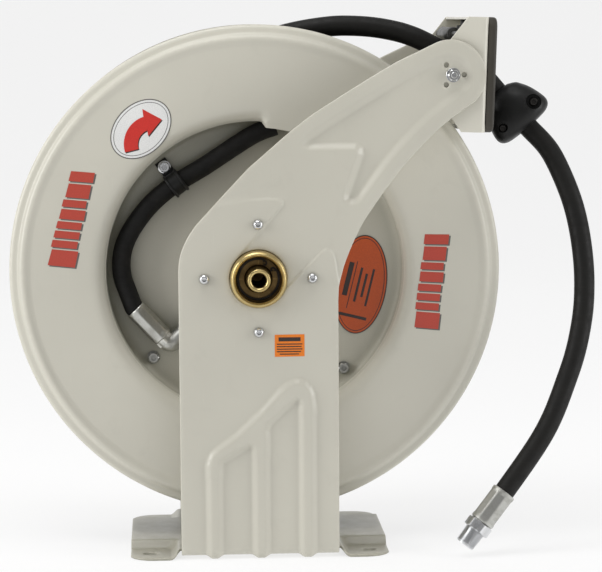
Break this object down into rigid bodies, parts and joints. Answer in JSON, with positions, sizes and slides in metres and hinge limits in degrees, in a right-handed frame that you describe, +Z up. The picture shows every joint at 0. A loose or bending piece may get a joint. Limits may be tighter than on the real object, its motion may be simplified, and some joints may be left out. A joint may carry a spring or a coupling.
{
  "type": "spring rewind hose reel",
  "caption": "Dual-arm spring-rewind hose reel on a stamped base, with a swivel inlet, a tilting roller guide, and a hose with ball stop and threaded end fitting.",
  "frame": {"origin": "middle of the underside of the base platform, under the drum axis and midway between the two arms; the feet stand 7.5 mm below it", "axes": "+Z up, +Y along the drum axis away from the swivel side, +X towards the side the hose leaves from"},
  "size_m": [0.5704, 0.231, 0.519],
  "materials": {
    "painted_steel": "warm grey powder coat",
    "drum_paint": "warm grey powder coat",
    "zinc_hardware": "zinc plated",
    "bare_steel": "machined",
    "spring_steel": "blued",
    "brass": "turned",
    "nylon": "natural",
    "black_plastic": "moulded",
    "roller_plastic": "moulded, semi-gloss",
    "hose_rubber": "smooth hose cover"
  },
  "bodies": {
    "frame": {"base_plate": "painted_steel", "front_arm": "painted_steel", "rear_arm": "painted_steel", "front_hub_plate": "painted_steel", "rear_hub_plate": "painted_steel", "base_bolt_1": "zinc_hardware", "base_bolt_2": "zinc_hardware", "base_bolt_3": "zinc_hardware", "base_bolt_4": "zinc_hardware", "hub_screw_1": "zinc_hardware", "hub_screw_2": "zinc_hardware", "hub_screw_3": "zinc_hardware", "hub_screw_4": "zinc_hardware", "front_bushing": "nylon", "main_shaft": "bare_steel", "shaft_nut": "zinc_hardware", "pawl_pin": "bare_steel", "hose_lead": "hose_rubber"},
    "drum": {"front_disc": "drum_paint", "rear_disc": "drum_paint", "drum_barrel": "drum_paint", "spring_cover": "drum_paint", "cover_screw_1": "zinc_hardware", "cover_screw_2": "zinc_hardware", "cover_screw_3": "zinc_hardware", "cover_screw_4": "zinc_hardware", "power_spring": "spring_steel", "rear_hub": "bare_steel", "rear_bushing": "nylon", "ratchet_wheel": "bare_steel", "hose_coil": "hose_rubber", "swivel_body": "brass", "retaining_washer": "bare_steel", "circlip": "spring_steel", "outlet_pipe": "zinc_hardware", "outlet_elbow": "zinc_hardware", "pigtail_ferrule": "zinc_hardware", "pigtail_hose": "hose_rubber", "hose_clamp": "black_plastic"},
    "inlet": {"inlet_stem": "brass"},
    "pawl": {"pawl": "bare_steel"},
    "guide_head": {"guide_bracket": "painted_steel", "roller_frame": "black_plastic", "pivot_bolt_front": "zinc_hardware", "pivot_bolt_rear": "zinc_hardware", "hose_section": "hose_rubber"},
    "roller_upper": {"roller_upper": "roller_plastic"},
    "roller_lower": {"roller_lower": "roller_plastic"},
    "roller_front": {"roller_front": "roller_plastic"},
    "roller_rear": {"roller_rear": "roller_plastic"},
    "hose_end": {"hose_tail": "hose_rubber", "tail_ferrule": "zinc_hardware", "tail_fitting": "zinc_hardware", "stop_half_front": "black_plastic", "stop_half_rear": "black_plastic", "stop_bolt_1": "zinc_hardware", "stop_bolt_2": "zinc_hardware"}
  },
  "joints": [
    {"name": "drum_spin", "type": "hinge", "parent": "frame", "child": "drum", "pos_m": [0, 0, 0.2635], "axis": [0, 1, 0], "continuous": true},
    {"name": "inlet_swivel", "type": "hinge", "parent": "frame", "child": "inlet", "pos_m": [0, -0.09, 0.2635], "axis": [0, 1, 0], "continuous": true},
    {"name": "pawl_swing", "type": "hinge", "parent": "frame", "child": "pawl", "pos_m": [0.031, 0.065, 0.31719], "axis": [0, -1, 0], "range_deg": [0, 12]},
    {"name": "head_tilt", "type": "hinge", "parent": "frame", "child": "guide_head", "pos_m": [0.1865, 0, 0.4545], "axis": [0, -1, 0], "range_deg": [-8, 17]},
    {"name": "upper_roller_spin", "type": "hinge", "parent": "guide_head", "child": "roller_upper", "pos_m": [0.19384, 0, 0.49267], "axis": [0, 1, 0], "continuous": true},
    {"name": "lower_roller_spin", "type": "hinge", "parent": "guide_head", "child": "roller_lower", "pos_m": [0.19218, 0, 0.4453], "axis": [0, 1, 0], "continuous": true},
    {"name": "front_roller_spin", "type": "hinge", "parent": "guide_head", "child": "roller_front", "pos_m": [0.20899, -0.0142, 0.45371], "axis": [0.0349, 0, 0.9994], "continuous": true},
    {"name": "rear_roller_spin", "type": "hinge", "parent": "guide_head", "child": "roller_rear", "pos_m": [0.20899, 0.0222, 0.45371], "axis": [0.0349, 0, 0.9994], "continuous": true},
    {"name": "hose_swing", "type": "hinge", "parent": "guide_head", "child": "hose_end", "pos_m": [0.224, 0.0035, 0.455], "axis": [0, -1, 0], "range_deg": [0, 35]}
  ]
}
